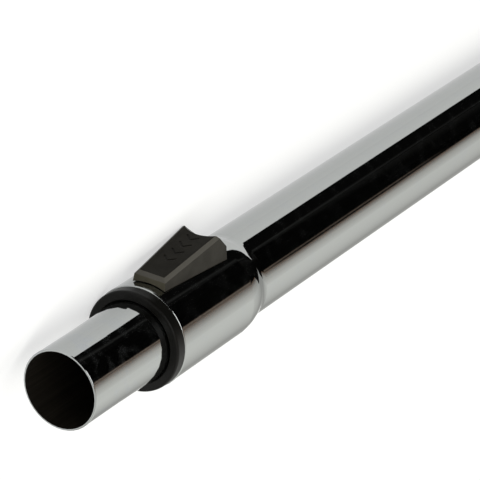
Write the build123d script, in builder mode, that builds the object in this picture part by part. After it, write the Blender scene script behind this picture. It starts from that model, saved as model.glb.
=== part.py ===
from build123d import *
import math
import os

# A telescopic suction tube along X, in millimetres, lying on its collar and on a corner of its thumb button

# Sheet steel of both tubes
wall = 0.8
edge_round = 0.5

# Clearances
running = 0.2
snug = 0.05

# Inner tube, with a slim spigot for the floor tool at its free end
spigot_r = 17.5
spigot_length = 24.0
spigot_step = 0.4
taper_length = 28.0

# Outer tube: wide collar, soft shoulder, long barrel, and a necked socket for the handle
tube_gap = 1.3
collar_x = 58.0
collar_rise = 2.75
collar_length = 54.5
shoulder_convex = 30.0
shoulder_concave = 14.0
neck_clear = 7.0
neck_bend = 7.0
socket_ease = 0.1
socket_length = 50.0

# Detents along the inner tube, and the roller that drops into them
detent_pitch = 33.0
detent_count = 13
detent_half = 7.2
roller_setback = 32.0
roller_r = 2.0
roller_length = 15.0
roller_depth = 1.5
roller_lift = 1.8
roller_bevel = 0.3

# Release slider, its carriage measured fore and aft of the roller
travel = 4.0
carriage_fore = 10.0
carriage_aft = 13.0
carriage_half = 5.6
carriage_roof = 1.9
carriage_step = 2.0
wing_fore_length = 5.5
wing_aft_length = 4.5
wing_lap = 0.8
window_half = 8.1
window_spare = 0.5
window_round = 2.0
tongue_fore = 4.0
tongue_aft = 5.0
tongue_half = 2.4
tongue_height = 3.8

# Return spring of the slider
spring_length = 16.5
spring_seat = 4.5
spring_wire_r = 0.2
spring_coil_r = 1.05
spring_turns = 8

# Thumb button, a wedge whose walls lean inwards
button_setback = 4.73
button_length = 44.63
button_half = 7.85
button_sink = 1.35
button_height = 5.23
button_top_slope = 0.164
button_flare = 0.059
button_draft = 0.093
button_front_lean = 0.086
button_rear_lean = 0.046
button_crest_setback = 6.12
button_rear_slope = 1.08
button_chamfer = 1.4
button_gap = 0.35
button_wall = 1.5
scoop_r = 16.2
scoop_bite = 3.04
scoop_tilt = 33.6

# Grip marks on the button, small arrowheads that point the way it slides
grip_setback = 13.0
grip_pitch = 5.8
grip_count = 4
grip_reach = 2.7
grip_width = 0.9
grip_depth = 0.25

# End ring, wiper seal and guide sleeve in the collar
ring_flange = 5.4
ring_inset = 0.4
ring_round = 1.2
ring_lead = 0.6
ring_gap = 0.25
ring_lip = 1.8
ring_barrel = 8.0
wiper_width = 3.0
wiper_depth = 2.5
wiper_land = 1.0
guide_floor = 1.1
lug_setback = 4.5
lug_r = 2.4
lug_rise = 1.5

# Stop sleeve and air seal at the upper end of the inner tube
stop_length = 36.5
stop_lip = 1.4
land_length = 17.0
air_seal_setback = 7.0
air_seal_width = 3.0
air_seal_depth = 0.65
air_seal_land = 1.0
peg_setback = 11.5
peg_r = 2.4
peg_gap = 0.1

# Radii and heights that follow
inner_r = spigot_r + spigot_step
inner_bore_r = inner_r - wall
outer_bore_r = inner_r + tube_gap
outer_r = outer_bore_r + wall
collar_r = outer_r + collar_rise
collar_bore_r = collar_r - wall
socket_bore_r = spigot_r + socket_ease
socket_r = socket_bore_r + wall
guide_r = collar_bore_r - snug
guide_bore_r = inner_r + running
ring_r = collar_r - ring_inset
ring_bore_r = inner_r + ring_gap
wiper_r = inner_r + wiper_depth
land_r = outer_bore_r - running
stop_r = land_r - running
air_seal_r = land_r - air_seal_depth
roller_z = inner_r + roller_r - roller_depth
detent_r = roller_r + snug
shelter_r = roller_r + 2 * snug
pocket_floor = guide_bore_r + guide_floor
carriage_base = pocket_floor + snug
carriage_top = roller_z + roller_lift + shelter_r + carriage_roof
tongue_top = carriage_top + tongue_height
wing_half = window_half + wing_lap
spring_r = spring_coil_r + spring_wire_r
groove_half = spring_r + running
button_z = collar_r - button_sink

# Places along the tube that follow
stroke = detent_pitch * (detent_count - 1)
taper_end = spigot_length + taper_length
shoulder_x = collar_x + collar_length
roller_x = collar_x + roller_setback
guide_end = shoulder_x - running
stop_front = guide_end + running + stroke
inner_length = stop_front + stop_length
land_front = inner_length - land_length
air_seal_front = land_front + air_seal_setback
air_seal_rear = air_seal_front + air_seal_width
peg_x = stop_front + peg_setback
neck_x = inner_length + neck_clear
ring_front = collar_x - ring_flange
wiper_front = ring_front + ring_lip
wiper_rear = wiper_front + wiper_width
barrel_end = collar_x + ring_barrel
lug_x = collar_x + lug_setback
carriage_front = roller_x - carriage_fore
carriage_rear = roller_x + carriage_aft
carriage_mid = (carriage_front + carriage_rear) / 2
neck_front = carriage_front + carriage_step
neck_rear = carriage_rear - carriage_step
window_front = neck_front - travel - window_spare
window_rear = neck_rear + window_spare
tongue_mid = roller_x + (tongue_aft - tongue_fore) / 2
tongue_length = tongue_fore + tongue_aft
spring_rear = carriage_front + spring_seat
spring_front = spring_rear - spring_length
button_front = collar_x + button_setback
button_rear = button_front + button_length
button_crest = button_rear - button_crest_setback
scoop_x = button_crest - scoop_bite
detents = [(roller_x + detent_pitch * k, roller_z) for k in range(detent_count)]
grips = [button_front + grip_setback + grip_pitch * k for k in range(grip_count)]

# Bends of the shoulder and of the neck, each two arcs that meet on one slope
shoulder_angle = math.degrees(math.acos(1 - (collar_r - outer_r) / (shoulder_convex + shoulder_concave)))
neck_angle = math.degrees(math.acos(1 - (outer_r - socket_r) / (2 * neck_bend)))
neck_end = neck_x + 2 * neck_bend * math.sin(math.radians(neck_angle))
outer_end = neck_end + socket_length

# Roll about the axis at which the tube rests, with the side corner of the button's crest on the floor
crest_x = button_crest + button_chamfer / (button_top_slope + button_rear_slope)
crest_height = button_height + button_top_slope * (crest_x - button_front) - button_chamfer
crest_half = button_half - button_draft * crest_height + button_flare * (crest_x - button_front)
crest_z = button_z + crest_height
crest_r = math.hypot(crest_half, crest_z)
rest_roll = math.degrees(math.acos(collar_r / crest_r) + math.atan2(crest_half, crest_z)) - 180

# Planes of the tube rolled so: one faces the way that the button points, the other halves the button
level = Plane.XY.rotated((rest_roll, 0, 0))
side = Plane.XZ.rotated((rest_roll, 0, 0))
button_axis = Axis((0, 0, 0), level.z_dir)

# Reach of the tools that cut right through a piece
through = 2 * collar_r


def button_top(x):
    return button_z + button_height + button_top_slope * (x - button_front)


def button_section(height, inset, front, rear):
    """Corners of the button's level section at a height over its foot, drawn in by an inset at the sides."""
    x_front = front + button_front_lean * height
    x_rear = rear - button_rear_lean * height
    half = button_half - inset - button_draft * height
    y_front = half + button_flare * (x_front - button_front)
    y_rear = half + button_flare * (x_rear - button_front)
    return [(x_front, -y_front), (x_rear, -y_rear), (x_rear, y_rear), (x_front, y_front)]


os.makedirs("parts", exist_ok=True)

# Outer tube
with BuildPart() as outer_tube:
    with BuildSketch(side):
        with BuildLine():
            mouth = Line((collar_x, collar_bore_r), (collar_x, collar_r - edge_round))
            rim = JernArc(mouth @ 1, (0, 1), edge_round, -90)
            collar_line = Line(rim @ 1, (shoulder_x, collar_r))
            crown = JernArc(collar_line @ 1, (1, 0), shoulder_convex, -shoulder_angle)
            foot = JernArc(crown @ 1, crown % 1, shoulder_concave, shoulder_angle)
            barrel_line = Line(foot @ 1, (neck_x, outer_r))
            neck_out = JernArc(barrel_line @ 1, (1, 0), neck_bend, -neck_angle)
            neck_in = JernArc(neck_out @ 1, neck_out % 1, neck_bend, neck_angle)
            socket_line = Line(neck_in @ 1, (outer_end - edge_round, socket_r))
            socket_rim = JernArc(socket_line @ 1, (1, 0), edge_round, -90)
            socket_face = Line(socket_rim @ 1, (outer_end, socket_bore_r))
            socket_bore = Line(socket_face @ 1, (neck_end, socket_bore_r))
            bore_in = JernArc(socket_bore @ 1, (-1, 0), neck_bend + wall, -neck_angle)
            bore_out = JernArc(bore_in @ 1, bore_in % 1, neck_bend - wall, neck_angle)
            bore_line = Line(bore_out @ 1, ((foot @ 1).X, outer_bore_r))
            bore_foot = JernArc(bore_line @ 1, (-1, 0), shoulder_concave + wall, -shoulder_angle)
            bore_crown = JernArc(bore_foot @ 1, bore_foot % 1, shoulder_convex - wall, shoulder_angle)
            Line(bore_crown @ 1, mouth @ 0)
        make_face()
    revolve(axis=Axis.X)
    with BuildSketch(level):
        with Locations(((window_front + window_rear) / 2, 0)):
            RectangleRounded(window_rear - window_front, 2 * window_half, window_round)
    extrude(amount=through, mode=Mode.SUBTRACT)
    with BuildSketch(level):
        with Locations((lug_x, 0)):
            Circle(lug_r + peg_gap)
    extrude(amount=-through, mode=Mode.SUBTRACT)
outer_tube.part.label = "outer_tube"
export_step(outer_tube.part, "parts/outer_tube.step")

# Inner tube, each detent pressed in as a groove outside and a bump inside
with BuildPart() as detent_bumps:
    with BuildSketch(side):
        with Locations(*detents):
            Circle(detent_r + wall)
    extrude(amount=detent_half, both=True)
    with BuildSketch(Plane.YZ):
        Circle(inner_r - wall / 2)
    extrude(amount=inner_length, mode=Mode.INTERSECT)

with BuildPart() as inner_tube:
    with BuildSketch(side):
        with BuildLine():
            lip_face = Line((0, spigot_r - wall), (0, spigot_r - edge_round))
            lip_round = JernArc(lip_face @ 1, (0, 1), edge_round, -90)
            Polyline(
                lip_round @ 1,
                (spigot_length, spigot_r),
                (taper_end, inner_r),
                (inner_length, inner_r),
                (inner_length, inner_bore_r),
                (taper_end, inner_bore_r),
                (spigot_length, spigot_r - wall),
                lip_face @ 0,
            )
        make_face()
    revolve(axis=Axis.X)
    add(detent_bumps.part)
    with BuildSketch(side):
        with Locations(*detents):
            Circle(detent_r)
        with Locations((peg_x, 0)):
            Circle(peg_r + peg_gap)
    extrude(amount=through, both=True, mode=Mode.SUBTRACT)
inner_tube.part.label = "inner_tube"
export_step(inner_tube.part, "parts/inner_tube.step")

# End ring, its flange against the collar and its barrel inside it
with BuildPart() as end_ring:
    with BuildSketch(side):
        with BuildLine():
            lead_in = Line((ring_front + ring_lead, ring_bore_r), (ring_front, ring_bore_r + ring_lead))
            ring_face = Line(lead_in @ 1, (ring_front, ring_r - ring_round))
            ring_edge = JernArc(ring_face @ 1, (0, 1), ring_round, -90)
            Polyline(
                ring_edge @ 1,
                (collar_x, ring_r),
                (collar_x, guide_r),
                (barrel_end, guide_r),
                (barrel_end, wiper_r),
                (wiper_front, wiper_r),
                (wiper_front, ring_bore_r),
                lead_in @ 0,
            )
        make_face()
    revolve(axis=Axis.X)
    with BuildSketch(level.offset(snug - collar_r)):
        with Locations((lug_x, 0)):
            Circle(lug_r)
    extrude(amount=lug_rise)
end_ring.part.label = "end_ring"
export_step(end_ring.part, "parts/end_ring.step")

# Wiper seal, caught between the end ring and the guide sleeve, with a lip on the inner tube
with BuildPart() as wiper_seal:
    with BuildSketch(side):
        with BuildLine():
            Polyline(
                (wiper_front, inner_r + snug),
                (wiper_front, wiper_r - snug),
                (wiper_rear, wiper_r - snug),
                (wiper_rear, guide_bore_r + running),
                (wiper_front + wiper_land, inner_r + snug),
                close=True,
            )
        make_face()
    revolve(axis=Axis.X)
wiper_seal.part.label = "wiper_seal"
export_step(wiper_seal.part, "parts/wiper_seal.step")

# Guide sleeve, with pockets for the slider, a shaft for the roller and a groove for the spring
ear_front = carriage_front + wing_fore_length + running
ear_rear = carriage_rear - wing_aft_length - travel - running
pocket_front = carriage_front - travel - running
with BuildPart() as guide_sleeve:
    with BuildSketch(side):
        with BuildLine():
            Polyline(
                (wiper_rear, guide_bore_r),
                (wiper_rear, wiper_r - snug),
                (barrel_end, wiper_r - snug),
                (barrel_end, guide_r),
                (guide_end, guide_r),
                (guide_end, guide_bore_r),
                close=True,
            )
        make_face()
    revolve(axis=Axis.X)
    with BuildSketch(level.offset(pocket_floor)):
        with Locations(((pocket_front + ear_front) / 2, 0)):
            Rectangle(ear_front - pocket_front, 2 * (wing_half + running))
        with Locations(((ear_rear + carriage_rear) / 2, 0)):
            Rectangle(carriage_rear - ear_rear, 2 * (wing_half + running))
        with Locations(((ear_front + ear_rear) / 2, 0)):
            Rectangle(ear_rear - ear_front, 2 * (carriage_half + running))
        with Locations(((spring_front + pocket_front) / 2, 0)):
            Rectangle(pocket_front - spring_front, 2 * groove_half)
    extrude(amount=through, mode=Mode.SUBTRACT)
    with BuildSketch(level):
        with Locations((roller_x, 0)):
            Rectangle(2 * detent_r, roller_length + 2 * running)
    extrude(amount=through, mode=Mode.SUBTRACT)
guide_sleeve.part.label = "guide_sleeve"
export_step(guide_sleeve.part, "parts/guide_sleeve.step")

# Locking roller
with BuildPart() as lock_roller:
    with BuildSketch(side):
        with Locations((roller_x, roller_z)):
            Circle(roller_r)
    extrude(amount=roller_length / 2, both=True)
    chamfer(lock_roller.edges().filter_by(GeomType.CIRCLE), roller_bevel)
lock_roller.part.label = "lock_roller"
export_step(lock_roller.part, "parts/lock_roller.step")

# Slider carriage, whose sloping roof holds the roller down or lets it rise
ramp = math.degrees(math.atan2(roller_lift, travel))
with BuildPart() as slider_carriage:
    with BuildSketch(level.offset(carriage_base)):
        with Locations((carriage_mid, 0)):
            Rectangle(carriage_rear - carriage_front, 2 * carriage_half)
        with Locations((carriage_front + wing_fore_length / 2, 0)):
            Rectangle(wing_fore_length, 2 * wing_half)
        with Locations((carriage_rear - wing_aft_length / 2, 0)):
            Rectangle(wing_aft_length, 2 * wing_half)
    extrude(amount=through)
    with BuildSketch(Plane.YZ):
        Circle(guide_r - snug)
    extrude(amount=inner_length, mode=Mode.INTERSECT)
    with BuildSketch(level.offset(carriage_base)):
        with Locations((carriage_mid, 0)):
            Rectangle(neck_rear - neck_front, 2 * carriage_half)
    extrude(amount=carriage_top - carriage_base)
    with BuildSketch(level.offset(carriage_top)):
        with Locations((tongue_mid, 0)):
            Rectangle(tongue_length, 2 * tongue_half)
    extrude(amount=tongue_height)
    with BuildSketch(side):
        with BuildLine():
            shelter_wall = Line((roller_x - shelter_r, 0), (roller_x - shelter_r, roller_z))
            shelter_front = JernArc(shelter_wall @ 1, (0, 1), shelter_r, ramp - 90)
            roof = Line(shelter_front @ 1, shelter_front @ 1 + Vector(travel, roller_lift))
            shelter_rear = JernArc(roof @ 1, roof % 1, shelter_r, -90 - ramp)
            Polyline(shelter_rear @ 1, (roller_x + travel + shelter_r, 0), shelter_wall @ 0)
        make_face()
    extrude(amount=through, both=True, mode=Mode.SUBTRACT)
    with BuildSketch(level.offset(pocket_floor)):
        with Locations((carriage_front + spring_seat / 2, 0)):
            Rectangle(spring_seat, 2 * groove_half)
    extrude(amount=2 * groove_half, mode=Mode.SUBTRACT)
slider_carriage.part.label = "slider_carriage"
export_step(slider_carriage.part, "parts/slider_carriage.step")

# Return spring, lying in the groove of the sleeve and the slot of the carriage
coil_length = spring_length - 2 * spring_wire_r
coil_start = (spring_front + spring_wire_r, 0, pocket_floor + snug + spring_r)
with BuildPart() as return_spring:
    with BuildLine(level):
        coil = Helix(coil_length / spring_turns, coil_length, spring_coil_r, coil_start, (1, 0, 0))
    with BuildSketch(Plane(origin=coil @ 0, z_dir=coil % 0)):
        RegularPolygon(spring_wire_r, 6)
    sweep(is_frenet=True)
return_spring.part.label = "return_spring"
export_step(return_spring.part, "parts/return_spring.step")

# Hollow of the thumb button, which leaves a seat round the tongue of the carriage
hollow_front = button_front + button_wall
hollow_rear = button_rear - 2 * button_wall
hollow_bend = tongue_mid + tongue_length / 2
section_low = -button_height
section_high = 3 * button_height
with BuildPart() as button_hollow:
    with BuildSketch(level.offset(button_z + section_low)):
        Polygon(*button_section(section_low, button_wall, hollow_front, hollow_rear), align=None)
    with BuildSketch(level.offset(button_z + section_high)):
        Polygon(*button_section(section_high, button_wall, hollow_front, hollow_rear), align=None)
    loft()
    with BuildSketch(side):
        with BuildLine():
            Polyline(
                (0, 0),
                (0, button_top(0) - button_wall),
                (hollow_bend, button_top(hollow_bend) - button_wall),
                (hollow_rear, button_z + button_height),
                (hollow_rear + button_wall, 0),
                close=True,
            )
        make_face()
    extrude(amount=through, both=True, mode=Mode.INTERSECT)
    with BuildSketch(level.offset(carriage_top)):
        with Locations((tongue_mid, 0)):
            Rectangle(tongue_length + 2 * button_wall, 2 * (tongue_half + button_wall))
    extrude(amount=through, mode=Mode.SUBTRACT)
    with BuildSketch(level.offset(carriage_top)):
        with Locations((tongue_mid, 0)):
            Rectangle(tongue_length + 2 * snug, 2 * (tongue_half + snug))
    extrude(amount=tongue_height + snug)

# Thumb button, with a scoop for the thumb in its rear slope and grip marks on top
tilt = math.radians(scoop_tilt)
scoop_centre = (scoop_x + scoop_r * math.sin(tilt), 0, button_top(scoop_x) + scoop_r * math.cos(tilt))
scoop_plane = level * Location(scoop_centre, (0, 90 + scoop_tilt, 0))
top_angle = math.degrees(math.atan(button_top_slope))
grip_planes = [level * Location((x, 0, button_top(x)), (0, -top_angle, 0)) for x in grips]
fall_end = button_rear + button_wall
with BuildPart() as slide_button:
    with BuildSketch(level.offset(button_z + section_low)):
        Polygon(*button_section(section_low, 0, button_front, button_rear), align=None)
    with BuildSketch(level.offset(button_z + section_high)):
        Polygon(*button_section(section_high, 0, button_front, button_rear), align=None)
    loft()
    with BuildSketch(side):
        with BuildLine():
            Polyline(
                (0, 0),
                (0, button_top(0)),
                (button_crest, button_top(button_crest)),
                (fall_end, button_top(button_crest) - button_rear_slope * (fall_end - button_crest)),
                (fall_end, 0),
                close=True,
            )
        make_face()
    extrude(amount=through, both=True, mode=Mode.INTERSECT)
    top_face = slide_button.faces().sort_by(button_axis)[-1]
    chamfer(top_face.edges().sort_by(Axis.X)[0:3], button_chamfer)
    with BuildSketch(Plane.YZ):
        Circle(collar_r + button_gap)
    extrude(amount=inner_length, mode=Mode.SUBTRACT)
    with BuildSketch(scoop_plane):
        Circle(scoop_r)
    extrude(amount=through, both=True, mode=Mode.SUBTRACT)
    with BuildSketch(*grip_planes):
        with Locations((grip_reach / 2, grip_reach / 2)):
            SlotCenterToCenter(grip_reach * math.sqrt(2), grip_width, rotation=45)
        mirror(about=Plane.XZ)
    extrude(amount=-grip_depth, mode=Mode.SUBTRACT)
    add(button_hollow.part, mode=Mode.SUBTRACT)
slide_button.part.label = "slide_button"
export_step(slide_button.part, "parts/slide_button.step")

# Stop sleeve on the upper end of the inner tube, pegged into two holes of it
with BuildPart() as stop_sleeve:
    with BuildSketch(side):
        with BuildLine():
            Polyline(
                (stop_front, inner_r + snug),
                (stop_front, stop_r),
                (land_front, stop_r),
                (land_front, land_r),
                (air_seal_front, land_r),
                (air_seal_front, air_seal_r),
                (air_seal_rear, air_seal_r),
                (air_seal_rear, land_r),
                (inner_length + stop_lip, land_r),
                (inner_length + stop_lip, inner_bore_r),
                (inner_length, inner_bore_r),
                (inner_length, inner_r + snug),
                close=True,
            )
        make_face()
    revolve(axis=Axis.X)
    with BuildSketch(side.offset(inner_bore_r)):
        with Locations((peg_x, 0)):
            Circle(peg_r)
    pegs = extrude(amount=stop_r - inner_bore_r - 2 * snug)
    mirror(pegs, about=side)
stop_sleeve.part.label = "stop_sleeve"
export_step(stop_sleeve.part, "parts/stop_sleeve.step")

# Air seal on the stop sleeve
with BuildPart() as air_seal:
    with BuildSketch(side):
        with BuildLine():
            Polyline(
                (air_seal_front, air_seal_r),
                (air_seal_front, land_r),
                (air_seal_front + air_seal_land, outer_bore_r - snug),
                (air_seal_rear - air_seal_land, outer_bore_r - snug),
                (air_seal_rear, land_r),
                (air_seal_rear, air_seal_r),
                close=True,
            )
        make_face()
    revolve(axis=Axis.X)
air_seal.part.label = "air_seal"
export_step(air_seal.part, "parts/air_seal.step")
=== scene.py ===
import math

import bpy
import numpy as np
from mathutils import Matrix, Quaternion, Vector


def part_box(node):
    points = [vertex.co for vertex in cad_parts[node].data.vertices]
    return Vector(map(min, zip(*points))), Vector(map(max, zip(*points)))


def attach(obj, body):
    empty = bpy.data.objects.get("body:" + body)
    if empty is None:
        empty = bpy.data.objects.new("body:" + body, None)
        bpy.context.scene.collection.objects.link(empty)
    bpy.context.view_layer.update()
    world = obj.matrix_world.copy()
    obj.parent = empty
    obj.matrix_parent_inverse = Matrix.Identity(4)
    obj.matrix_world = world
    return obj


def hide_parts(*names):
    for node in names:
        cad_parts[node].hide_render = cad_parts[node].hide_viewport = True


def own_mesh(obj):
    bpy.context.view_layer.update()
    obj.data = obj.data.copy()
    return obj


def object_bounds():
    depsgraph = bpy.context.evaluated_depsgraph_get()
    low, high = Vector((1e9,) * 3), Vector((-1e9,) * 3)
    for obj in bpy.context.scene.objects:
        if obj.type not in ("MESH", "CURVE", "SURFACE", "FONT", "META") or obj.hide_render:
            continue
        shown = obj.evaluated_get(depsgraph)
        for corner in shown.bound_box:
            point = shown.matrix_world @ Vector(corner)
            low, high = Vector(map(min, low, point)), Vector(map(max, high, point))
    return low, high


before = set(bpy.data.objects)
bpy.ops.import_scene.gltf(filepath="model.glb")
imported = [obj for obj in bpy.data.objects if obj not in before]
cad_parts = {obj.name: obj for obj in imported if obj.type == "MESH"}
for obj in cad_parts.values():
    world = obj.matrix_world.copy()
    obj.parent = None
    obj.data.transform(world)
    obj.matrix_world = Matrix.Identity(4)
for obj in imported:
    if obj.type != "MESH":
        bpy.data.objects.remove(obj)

cad_low, cad_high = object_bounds()

# Places and sizes are in metres. X runs along the tube from its open end, and Z is up.

# Camera: where it stands, the point it looks at, how far it is turned about its own line of sight,
# and its lens and sensor in millimetres
CAMERA_PLACE = Vector((-0.84187, 0.7405, 0.22731))
CAMERA_AIM = Vector((0.15025, 0.00335, -0.01039))
CAMERA_ROLL = math.radians(132.666)
CAMERA_LENS = 215.82
CAMERA_SENSOR = 36.0

# Floor: grey paper that glows a little where it is looked at, and so shows as white
FLOOR_SIZE = 12.0
FLOOR_COLOUR = (0.5, 0.5, 0.5, 1.0)
FLOOR_GLOW = 0.56

# Sky: its strength at two heights of a direction, dim towards the horizon and bright overhead
SKY_COLOUR = (1.0, 1.0, 0.955, 1.0)
SKY_HEIGHT = (0.25, 0.62)
SKY_STRENGTH = (0.47, 1.11)

# Dark flag that only gloss shows: it lies on the floor beside the tube, and then arches over the camera
FLAG_REACH = 4.0
FLAG_GAP = 0.0005
FLAG_NEAR = 0.0447
FLAG_R = 0.9
FLAG_STEPS = 12
FLAG_COLOUR = (0.004, 0.004, 0.004, 1.0)
FLAG_WARM = (0.24, 0.115, 0.055, 1.0)

# The flag clears with its angle about the tube: a share of it by the middle angle, the rest by the end.
# The angle where this starts rises between two places along X. The cloth warms as it starts to clear.
FADE_X = (1.24, 1.31)
FADE_START = (math.radians(52.5), math.radians(57.0))
FADE_MIDDLE = math.radians(72.5)
FADE_END = math.radians(92.0)
FADE_SHARE = 0.7
WARM_SPAN = (0.0, 0.15)

# Brown hem along the flag, about where it starts to clear: it grows fainter along X, and then ends
HEM_ANGLE = math.radians(52.5)
HEM_HALF = math.radians(3.2)
HEM_COLOUR = (0.52, 0.4, 0.33, 1.0)
HEM_SHARE = (1.0, 0.5)
HEM_END_X = (1.52, 1.62)

# Paler seam of the flag on the floor, which runs out from the tube at a slant.
# Its half width is a share of its distance. Between two places along X it grows wider and fainter.
SEAM_START = 0.046
SEAM_SLANT = 0.49
SEAM_COLOUR = (0.03, 0.03, 0.03, 1.0)
SEAM_X = (0.35, 0.75)
SEAM_HALF = (0.16, 0.6)
SEAM_SHARE = (1.0, 0.75)

# Card that ends the flag beyond the upper end of the tube
CARD_X = 1.5
CARD_LEFT = -0.05
CARD_TOP = 0.5

# Soft crease of the flag above the tube's level, which widens along X and goes on over the end card
CREASE_X = (1.27, CARD_X)
CREASE_NARROW = math.radians(0.1)
CREASE_WIDE = math.radians(20.0)
CREASE_SHARE = 0.62

# White card beside the camera, which fills the faces in front and glints on the rims
FILL_PLACE = Vector((-0.42, 0.51, 0.37))
FILL_HALF = 0.25
FILL_STRENGTH = 2.5

# Return spring: round wire, whose end turns lie close
COIL_WIRE_R = 0.0002
COIL_TURNS = 8.0
COIL_CLOSED = 1.0
COIL_CLOSED_PITCH = 0.00042
COIL_STEPS = 320
COIL_SIDES = 12

# For all finishes: plain colours, the whole range of a share, and the span that noise mostly fills
BLACK = (0.0, 0.0, 0.0, 1.0)
WHITE = (1.0, 1.0, 1.0, 1.0)
MATT = {"Roughness": 1.0, "Specular_IOR_Level": 0.0}
WHOLE = (0.0, 1.0)
NOISE_SPAN = (0.3, 0.7)
NOISE_DETAIL = 3.0

# Where a surface counts as a bore, a rounded edge or the bottom of a recess
BORE_FACING = -0.002
EDGE_TURN = (0.998, 0.95)
EDGE_SAMPLES = 6
RECESS_OPEN = (0.95, 0.6)
RECESS_SAMPLES = 8

# Chrome: its smears tint it and make it less metallic, most of all near the open end, where hands hold it
CHROME = (0.402, 0.416, 0.411, 1.0)
CHROME_SMEAR = (0.385, 0.405, 0.43, 1.0)
CHROME_ROUGHNESS = (0.03, 0.06)
SMEAR_WAVES = 150.0
SMEAR_DETAIL = 5.0
SMEAR_SPAN = (0.5, 0.7)
SMEAR_TINTED = 0.96
HANDLED_X = (0.02, 0.05)
HANDLED_METALLIC = (0.972, 0.992)
LINE_WAVES = (9.0, 900.0, 900.0)
LINE_SPAN = (0.35, 0.65)
LINE_DEPTH = 0.000004

# Bare steel of the tubes' bores, painted near black with the shade that falls inside them
BARE_STEEL_SHADED = (0.014, 0.011, 0.008, 1.0)
BARE_STREAK = (0.03, 0.025, 0.019, 1.0)
BARE_METALLIC = 0.6
BARE_ROUGHNESS = 0.5

# Moulded plastic: a mottle that darkens and dulls it, a fine grain, and edges that are rubbed smoother
MOTTLE_WAVES = 140.0
MOTTLE_SHARE = (0.0, 0.25)
MOTTLE_DULLS = 0.05
RUBBED_SMOOTHS = 0.1
GRAIN_WAVES = 2600.0
GRAIN_DETAIL = 1.0
GRAIN_DEPTH = 0.00003
PLASTIC_GLOSS = 0.35
PLASTIC_EDGE_R = 0.0002

# Plastics of the two sleeves, the carriage and the ring
SLEEVE_BLACK = (0.02, 0.02, 0.02, 1.0)
SLEEVE_EDGE = (0.04, 0.04, 0.04, 1.0)
SLEEVE_ROUGHNESS = 0.45
CARRIAGE_IVORY = (0.5, 0.48, 0.42, 1.0)
CARRIAGE_EDGE = (0.6, 0.58, 0.52, 1.0)
CARRIAGE_ROUGHNESS = 0.4
RING_BLACK = (0.006, 0.0058, 0.005, 1.0)
# The ring's edge colour: rubbed wear, and a painted highlight along its rounds
RING_EDGE_WEAR_AND_HIGHLIGHT = (0.02, 0.019, 0.017, 1.0)
RING_ROUGHNESS = 0.36
RING_GLOSS = 0.13
RING_EDGE_R = 0.0003

# Button: the ways that its top and its front look, and how squarely its faces look those ways
BUTTON_UP = (0.0, 0.8887, -0.4585)
BUTTON_AHEAD = (-1.0, 0.0, 0.0)
TOP_FACING = (0.9, 0.95)
FRONT_FACING = (0.7, 0.95)
SLANT_UNDER = (0.93, 0.86)
SLANT_OVER = (0.3, 0.45)
# Painted light on the button: its top is painted shaded, its sides lit, and its front lit lighter still
BUTTON_TOP_SHADED = (0.0115, 0.0098, 0.006, 1.0)
BUTTON_SIDE_LIT = (0.0385, 0.0355, 0.0295, 1.0)
BUTTON_FRONT_LIT = (0.085, 0.078, 0.057, 1.0)
# Painted shade deep in the grip marks
BUTTON_MARK_SHADE = (0.006, 0.005, 0.0035, 1.0)
# Painted highlight on the faces that slant between the top and the sides
BUTTON_SLANT_HIGHLIGHT = (0.096, 0.0905, 0.079, 1.0)
BUTTON_ROUGHNESS = 0.5
BUTTON_GLOSS = 0.08
BUTTON_EDGE_R = 0.0003
BUTTON_MARK_DEPTH = 0.0006

# Rubber of the seals, with a pale bloom over a pebbled skin
RUBBER_BLACK = (0.012, 0.012, 0.012, 1.0)
RUBBER_BLOOM = (0.03, 0.03, 0.03, 1.0)
RUBBER_ROUGHNESS = (0.6, 0.8)
RUBBER_GLOSS = 0.3
BLOOM_WAVES = 300.0
PEBBLE_WAVES = 1800.0
PEBBLE_DEPTH = 0.00004

# Ground steel of the roller and the spring
STEEL_GREY = (0.5, 0.5, 0.5, 1.0)
STEEL_MARK = (0.4, 0.4, 0.4, 1.0)
STEEL_ROUGHNESS = (0.2, 0.4)
STEEL_MARK_DEPTH = 0.00001
ROLLER_WAVES = (400.0, 60.0, 400.0)
WIRE_WAVES = (900.0, 900.0, 900.0)


class Graph:
    """A node tree, with short ways to add its nodes and links."""

    def __init__(self, tree):
        self.nodes = tree.nodes
        self.links = tree.links

    def feed(self, socket, value):
        """Link a socket to another one, or set it to a constant."""
        if isinstance(value, bpy.types.NodeSocket):
            self.links.new(value, socket)
        else:
            socket.default_value = value

    def node(self, kind, settings=None, **inputs):
        """Add a node. A keyword names one of its inputs and gives it a value or a link."""
        made = self.nodes.new(kind)
        for key, value in (settings or {}).items():
            setattr(made, key, value)
        for key, value in inputs.items():
            self.feed(made.inputs[key.replace("_", " ")], value)
        return made

    def axes(self, vector):
        return self.node("ShaderNodeSeparateXYZ", Vector=vector).outputs

    def spread(self, value, span, result=WHOLE):
        """Map a value from a span onto a result, which are both pairs, and hold it at their ends."""
        made = self.node("ShaderNodeMapRange", Value=value, From_Min=span[0], From_Max=span[1])
        self.feed(made.inputs["To Min"], result[0])
        self.feed(made.inputs["To Max"], result[1])
        return made.outputs["Result"]

    def blend(self, factor, first, second):
        return self.node("ShaderNodeMixRGB", Fac=factor, Color1=first, Color2=second).outputs["Color"]

    def maths(self, operation, *values):
        made = self.node("ShaderNodeMath", {"operation": operation})
        for socket, value in zip(made.inputs, values):
            self.feed(socket, value)
        return made.outputs["Value"]

    def vector(self, operation, first, second):
        made = self.node("ShaderNodeVectorMath", {"operation": operation})
        self.feed(made.inputs[0], first)
        self.feed(made.inputs[1], second)
        return made.outputs["Value" if operation == "DOT_PRODUCT" else "Vector"]


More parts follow.
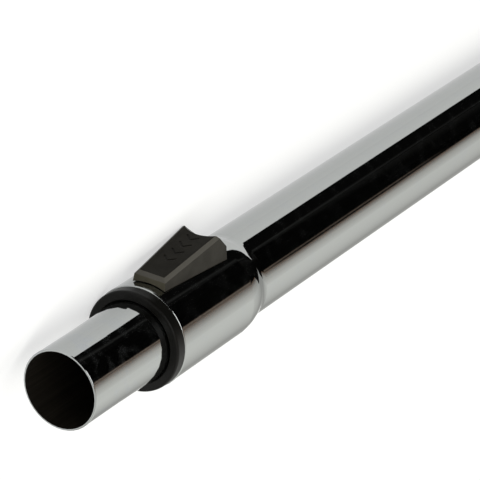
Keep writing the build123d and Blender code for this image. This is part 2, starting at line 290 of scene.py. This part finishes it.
class Finish(Graph):
    """A material of one shader, with short ways to read its surface."""

    def __init__(self, name):
        self.material = bpy.data.materials.new(name)
        self.material.use_nodes = True
        super().__init__(self.material.node_tree)
        self.shader = self.nodes["Principled BSDF"]

    def set(self, **inputs):
        for key, value in inputs.items():
            self.feed(self.shader.inputs[key.replace("_", " ")], value)

    def place(self):
        return self.node("ShaderNodeTexCoord").outputs["Object"]

    def noise(self, scale=1.0, detail=NOISE_DETAIL, stretch=(1.0, 1.0, 1.0)):
        """Noise fixed to the piece, with a number of waves to a metre that may differ by axis."""
        stretched = self.node("ShaderNodeMapping", Vector=self.place(), Scale=stretch).outputs["Vector"]
        return self.node("ShaderNodeTexNoise", Vector=stretched, Scale=scale, Detail=detail).outputs["Fac"]

    def facing(self, direction):
        """How squarely the surface faces a direction of the piece."""
        return self.vector("DOT_PRODUCT", self.node("ShaderNodeTexCoord").outputs["Normal"], direction)

    def bore(self):
        """1 where the surface faces the tube's axis, else 0."""
        outwards = self.vector("MULTIPLY", self.place(), (0.0, 1.0, 1.0))
        return self.maths("LESS_THAN", self.facing(outwards), BORE_FACING)

    def rounded(self, radius):
        """The surface's normal as if every edge had a small round, and 1 along those rounds, else 0."""
        normal = self.node("ShaderNodeBevel", {"samples": EDGE_SAMPLES}, Radius=radius).outputs["Normal"]
        turn = self.vector("DOT_PRODUCT", normal, self.node("ShaderNodeNewGeometry").outputs["Normal"])
        return normal, self.spread(turn, EDGE_TURN)

    def recess(self, depth):
        """1 deep in a recess of about a depth, else 0."""
        settings = {"samples": RECESS_SAMPLES, "only_local": True}
        openness = self.node("ShaderNodeAmbientOcclusion", settings, Distance=depth).outputs["AO"]
        return self.spread(openness, RECESS_OPEN)

    def bump(self, height, depth, normal=None):
        made = self.node("ShaderNodeBump", Height=height, Distance=depth)
        if normal:
            self.feed(made.inputs["Normal"], normal)
        return made.outputs["Normal"]


def chrome(name):
    """Bright plating with fine lengthwise drawing lines and faint smears, over a bore of bare steel
    painted near black with shade.
    """
    finish = Finish(name)
    bore = finish.bore()
    smears = finish.noise(SMEAR_WAVES, detail=SMEAR_DETAIL)
    lines = finish.noise(stretch=LINE_WAVES)
    polish = finish.spread(smears, NOISE_SPAN, CHROME_ROUGHNESS)
    handled = finish.spread(finish.axes(finish.place())["X"], HANDLED_X, HANDLED_METALLIC)
    film = finish.spread(smears, SMEAR_SPAN, (1.0, handled))
    plating = finish.blend(finish.spread(film, (1.0, SMEAR_TINTED)), CHROME, CHROME_SMEAR)
    # Painted shade: the bore's bare steel is painted near black
    bare_shaded = finish.blend(finish.spread(lines, LINE_SPAN), BARE_STEEL_SHADED, BARE_STREAK)
    finish.set(
        Metallic=finish.spread(bore, WHOLE, (film, BARE_METALLIC)),
        Base_Color=finish.blend(bore, plating, bare_shaded),
        Roughness=finish.spread(bore, WHOLE, (polish, BARE_ROUGHNESS)),
        Normal=finish.bump(lines, LINE_DEPTH),
    )
    return finish.material


def grained(finish, colour, wear_and_highlight, wear_and_highlight_colour, roughness, normal, gloss):
    """Moulded plastic with a fine grain and a slight mottle, lighter and smoother where a mask marks
    rubbed wear and painted highlights.
    """
    mottle = finish.noise(MOTTLE_WAVES)
    grain = finish.noise(GRAIN_WAVES, detail=GRAIN_DETAIL)
    mottled = finish.blend(finish.spread(mottle, NOISE_SPAN, MOTTLE_SHARE), colour, BLACK)
    dull = finish.spread(mottle, NOISE_SPAN, (roughness - MOTTLE_DULLS, roughness + MOTTLE_DULLS))
    finish.set(
        Base_Color=finish.blend(wear_and_highlight, mottled, wear_and_highlight_colour),
        Roughness=finish.spread(wear_and_highlight, WHOLE, (dull, roughness - RUBBED_SMOOTHS)),
        Normal=finish.bump(grain, GRAIN_DEPTH, normal),
        Specular_IOR_Level=gloss,
    )


def moulded(name, colour, edge_colour, roughness, edge_r=PLASTIC_EDGE_R, gloss=PLASTIC_GLOSS):
    """Plastic whose edges are painted lighter: rubbed wear, and on the ring also a painted highlight along
    its rounds.
    """
    finish = Finish(name)
    normal, edge = finish.rounded(edge_r)
    grained(finish, colour, edge, edge_colour, roughness, normal, gloss)
    return finish.material


def button_plastic():
    """Plastic painted with light by the way its faces look: a shaded top, lit sides and a front lit
    lighter still, a painted highlight where its faces slant, and painted shade in the grip marks in its
    top.
    """
    finish = Finish("button_plastic")
    normal, _ = finish.rounded(BUTTON_EDGE_R)
    lean = finish.facing(BUTTON_UP)
    # Painted highlight where the faces slant between the top and the sides
    under = finish.spread(lean, SLANT_UNDER)
    over = finish.spread(lean, SLANT_OVER)
    slanted = finish.maths("MULTIPLY", under, over)
    # Painted light: the top painted shaded, the sides lit, and the front lit lighter still
    front = finish.spread(finish.facing(BUTTON_AHEAD), FRONT_FACING)
    top = finish.spread(lean, TOP_FACING)
    colour = finish.blend(top, finish.blend(front, BUTTON_SIDE_LIT, BUTTON_FRONT_LIT), BUTTON_TOP_SHADED)
    # Painted shade deep in the grip marks of the top
    colour = finish.blend(finish.recess(BUTTON_MARK_DEPTH), colour, BUTTON_MARK_SHADE)
    grained(finish, colour, slanted, BUTTON_SLANT_HIGHLIGHT, BUTTON_ROUGHNESS, normal, BUTTON_GLOSS)
    return finish.material


def rubber(name):
    """Black rubber with a bloom and a pebbled skin."""
    finish = Finish(name)
    bloom = finish.noise(BLOOM_WAVES)
    finish.set(
        Base_Color=finish.blend(bloom, RUBBER_BLACK, RUBBER_BLOOM),
        Roughness=finish.spread(bloom, NOISE_SPAN, RUBBER_ROUGHNESS),
        Normal=finish.bump(finish.noise(PEBBLE_WAVES), PEBBLE_DEPTH),
        Specular_IOR_Level=RUBBER_GLOSS,
    )
    return finish.material


def ground_steel(name, waves):
    """Steel with grinding marks, which are long where the waves are few."""
    finish = Finish(name)
    marks = finish.noise(stretch=waves)
    finish.set(
        Metallic=1.0,
        Base_Color=finish.blend(marks, STEEL_GREY, STEEL_MARK),
        Roughness=finish.spread(marks, NOISE_SPAN, STEEL_ROUGHNESS),
        Normal=finish.bump(marks, STEEL_MARK_DEPTH),
    )
    return finish.material


def coil_mesh(start, length, coil_r):
    """Round wire wound about a line along X, with closed turns at both ends and even ones between."""
    closed_rise = COIL_CLOSED * COIL_CLOSED_PITCH
    bends = [0.0, COIL_CLOSED, COIL_TURNS - COIL_CLOSED, COIL_TURNS]
    heights = [0.0, closed_rise, length - closed_rise, length]
    turns = np.linspace(0.0, COIL_TURNS, COIL_STEPS + 1)
    rise = np.interp(turns, bends, heights)
    angle = 2 * math.pi * turns
    outwards = np.stack([np.zeros_like(angle), np.cos(angle), np.sin(angle)], axis=1)
    line = np.array(start) + rise[:, None] * np.array([1.0, 0.0, 0.0]) + coil_r * outwards
    along = np.gradient(line, axis=0)
    along /= np.linalg.norm(along, axis=1, keepdims=True)
    across = np.cross(along, outwards)
    verts = []
    for k in range(COIL_SIDES):
        turn = 2 * math.pi * k / COIL_SIDES
        verts.append(line + COIL_WIRE_R * (math.cos(turn) * outwards + math.sin(turn) * across))
    verts = np.stack(verts, axis=1).reshape(-1, 3)
    rings = [[step * COIL_SIDES + k for k in range(COIL_SIDES)] for step in range(COIL_STEPS + 1)]
    faces = [rings[0][::-1], rings[-1]]
    for first, second in zip(rings, rings[1:]):
        for k in range(COIL_SIDES):
            after = (k + 1) % COIL_SIDES
            faces.append((first[k], first[after], second[after], second[k]))
    mesh = bpy.data.meshes.new("spring_coil")
    mesh.from_pydata(verts.tolist(), [], faces)
    mesh.shade_smooth()
    return mesh


def build_spring(material):
    """A spring that stands for its solid."""
    low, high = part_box("return_spring")
    middle = (low + high) / 2
    length = high.x - low.x
    start = (low.x + COIL_WIRE_R, middle.y, middle.z)
    mesh = coil_mesh(start, length - 2 * COIL_WIRE_R, (high.z - low.z) / 2 - COIL_WIRE_R)
    mesh.materials.append(material)
    spring = bpy.data.objects.new("spring_coil", mesh)
    bpy.context.scene.collection.objects.link(spring)
    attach(spring, "outer")
    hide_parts("return_spring")
    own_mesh(spring)


def dress(node, material):
    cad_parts[node].material_slots[0].material = material


def dress_nodes():
    """Give every solid its finish, and build the spring that stands for one of them."""
    sleeve = moulded("sleeve_plastic", SLEEVE_BLACK, SLEEVE_EDGE, SLEEVE_ROUGHNESS)
    carriage = moulded("carriage_plastic", CARRIAGE_IVORY, CARRIAGE_EDGE, CARRIAGE_ROUGHNESS)
    # The ring's lighter edges are partly a painted highlight
    ring = moulded("ring_plastic", RING_BLACK, RING_EDGE_WEAR_AND_HIGHLIGHT, RING_ROUGHNESS, RING_EDGE_R, RING_GLOSS)
    seal = rubber("seal_rubber")
    wire = ground_steel("spring_steel", WIRE_WAVES)
    dress("inner_tube", chrome("inner_chrome"))
    dress("outer_tube", chrome("outer_chrome"))
    dress("slide_button", button_plastic())
    dress("end_ring", ring)
    dress("slider_carriage", carriage)
    dress("guide_sleeve", sleeve)
    dress("stop_sleeve", sleeve)
    dress("wiper_seal", seal)
    dress("air_seal", seal)
    dress("lock_roller", ground_steel("roller_steel", ROLLER_WAVES))
    dress("return_spring", wire)
    build_spring(wire)


def floor_finish():
    """Paper that glows a little where it is looked at, so that it shows as white around the shadow."""
    finish = Finish("floor_paper")
    rays = finish.node("ShaderNodeLightPath").outputs
    seen = finish.maths("MAXIMUM", rays["Is Camera Ray"], rays["Is Glossy Ray"])
    seen = finish.maths("MAXIMUM", seen, rays["Is Transmission Ray"])
    glow = finish.spread(seen, WHOLE, (0.0, FLOOR_GLOW))
    finish.set(Base_Color=FLOOR_COLOUR, Emission_Color=WHITE, Emission_Strength=glow, **MATT)
    return finish.material


def crease(finish, angle, top):
    """How pale the crease is at an angle about the tube: it fades from the tube's level to its top."""
    share = finish.spread(angle, (0.0, top), (CREASE_SHARE, 0.0))
    return finish.maths("MULTIPLY", share, finish.maths("GREATER_THAN", angle, 0.0))


def seam(finish, x, y, z):
    """How pale the seam is at a place: it fades to both its sides, and lies on the floor only."""
    middle = finish.maths("MULTIPLY_ADD", x, SEAM_SLANT, SEAM_START)
    off = finish.maths("ABSOLUTE", finish.maths("SUBTRACT", finish.maths("DIVIDE", y, middle), 1.0))
    half = finish.spread(x, SEAM_X, SEAM_HALF)
    share = finish.spread(off, (0.0, half), (finish.spread(x, SEAM_X, SEAM_SHARE), 0.0))
    return finish.maths("MULTIPLY", share, finish.maths("LESS_THAN", z, 0.0))


def hem(finish, x, angle):
    """How brown the hem is at a place along the flag and an angle about the tube."""
    off = finish.maths("ABSOLUTE", finish.maths("SUBTRACT", angle, HEM_ANGLE))
    share = finish.spread(x, HEM_END_X, (finish.spread(x, FADE_X, HEM_SHARE), 0.0))
    return finish.spread(off, (0.0, HEM_HALF), (share, 0.0))


def flag_finish():
    """Black cloth with a seam and a crease, which warms and then clears with its angle about the tube."""
    finish = Finish("flag_cloth")
    x, y, z = finish.axes(finish.place())
    angle = finish.maths("ARCTAN2", z, y)
    start = finish.spread(x, FADE_X, FADE_START)
    edge = finish.spread(angle, (start, FADE_MIDDLE), (0.0, FADE_SHARE))
    haze = finish.spread(angle, (FADE_MIDDLE, FADE_END), (0.0, 1.0 - FADE_SHARE))
    clear = finish.maths("ADD", edge, haze)
    crease_top = finish.spread(x, CREASE_X, (CREASE_NARROW, CREASE_WIDE))
    pale = finish.maths("MAXIMUM", seam(finish, x, y, z), crease(finish, angle, crease_top))
    cloth = finish.blend(pale, FLAG_COLOUR, SEAM_COLOUR)
    warmed = finish.blend(finish.spread(clear, WARM_SPAN), cloth, FLAG_WARM)
    hemmed = finish.blend(hem(finish, x, angle), warmed, HEM_COLOUR)
    finish.set(Base_Color=hemmed, Alpha=finish.spread(clear, WHOLE, (1.0, 0.0)), **MATT)
    return finish.material


def end_card_finish():
    """Black card that the flag's crease goes on over."""
    finish = Finish("card_black")
    _, y, z = finish.axes(finish.place())
    pale = crease(finish, finish.maths("ARCTAN2", z, y), CREASE_WIDE)
    finish.set(Base_Color=finish.blend(pale, FLAG_COLOUR, SEAM_COLOUR), **MATT)
    return finish.material


def fill_card_finish():
    """Card that glows white."""
    finish = Finish("card_white")
    finish.set(Base_Color=FLOOR_COLOUR, Emission_Color=WHITE, Emission_Strength=FILL_STRENGTH, **MATT)
    return finish.material


def strip(name, first_edge, second_edge, material):
    """A sheet of the studio between two edges, each a list of as many points."""
    count = len(first_edge)
    faces = [(k, k + 1, count + k + 1, count + k) for k in range(count - 1)]
    mesh = bpy.data.meshes.new(name)
    mesh.from_pydata(first_edge + second_edge, [], faces)
    mesh.materials.append(material)
    sheet = bpy.data.objects.new(name, mesh)
    bpy.context.scene.collection.objects.link(sheet)
    return sheet


def build_floor():
    half = FLOOR_SIZE / 2
    near, far = ([(-half, y, cad_low.z), (half, y, cad_low.z)] for y in (-half, half))
    strip("floor", near, far, floor_finish())


def build_flag():
    """The flag and its end card, which show in gloss and neither light nor shade anything."""
    base = cad_low.z + FLAG_GAP
    arch = [math.pi / 2 * k / FLAG_STEPS for k in range(FLAG_STEPS + 1)]
    profile = [(FLAG_NEAR, base), (FLAG_R, base)]
    profile += [(FLAG_R * math.cos(angle), FLAG_R * math.sin(angle)) for angle in arch]
    left, right = ([(x, y, z) for y, z in profile] for x in (-FLAG_REACH, FLAG_REACH))
    flag = strip("flag", left, right, flag_finish())
    bottom, top = ([(CARD_X, CARD_LEFT, z), (CARD_X, FLAG_R, z)] for z in (base, CARD_TOP))
    card = strip("flag_end", bottom, top, end_card_finish())
    for sheet in (flag, card):
        sheet.visible_camera = False
        sheet.visible_shadow = False
        sheet.visible_diffuse = False


def build_fill_card():
    """An upright card that faces the tube's open end."""
    across = Vector((-FILL_PLACE.y, FILL_PLACE.x, 0.0)).normalized() * FILL_HALF
    upright = Vector((0.0, 0.0, FILL_HALF))
    middles = (FILL_PLACE - upright, FILL_PLACE + upright)
    bottom, top = ([middle - across, middle + across] for middle in middles)
    card = strip("fill_card", bottom, top, fill_card_finish())
    card.visible_camera = False
    card.visible_shadow = False


def build_sky():
    """A sky that is bright overhead and dim at the horizon, by the height of a direction."""
    world = bpy.data.worlds.new("studio_sky")
    world.use_nodes = True
    graph = Graph(world.node_tree)
    direction = graph.node("ShaderNodeTexCoord").outputs["Generated"]
    strength = graph.spread(graph.axes(direction)["Z"], SKY_HEIGHT, SKY_STRENGTH)
    background = graph.nodes["Background"].inputs
    graph.feed(background["Color"], SKY_COLOUR)
    graph.feed(background["Strength"], strength)
    bpy.context.scene.world = world


def build_camera():
    data = bpy.data.cameras.new("camera")
    data.lens = CAMERA_LENS
    data.sensor_width = CAMERA_SENSOR
    camera = bpy.data.objects.new("camera", data)
    camera.rotation_mode = "QUATERNION"
    camera.location = CAMERA_PLACE
    level = (CAMERA_AIM - CAMERA_PLACE).to_track_quat("-Z", "Y")
    camera.rotation_quaternion = level @ Quaternion((0.0, 0.0, 1.0), CAMERA_ROLL)
    bpy.context.scene.collection.objects.link(camera)
    bpy.context.scene.camera = camera


bpy.context.scene.view_settings.view_transform = "Standard"
dress_nodes()
build_floor()
build_flag()
build_fill_card()
build_sky()
build_camera()
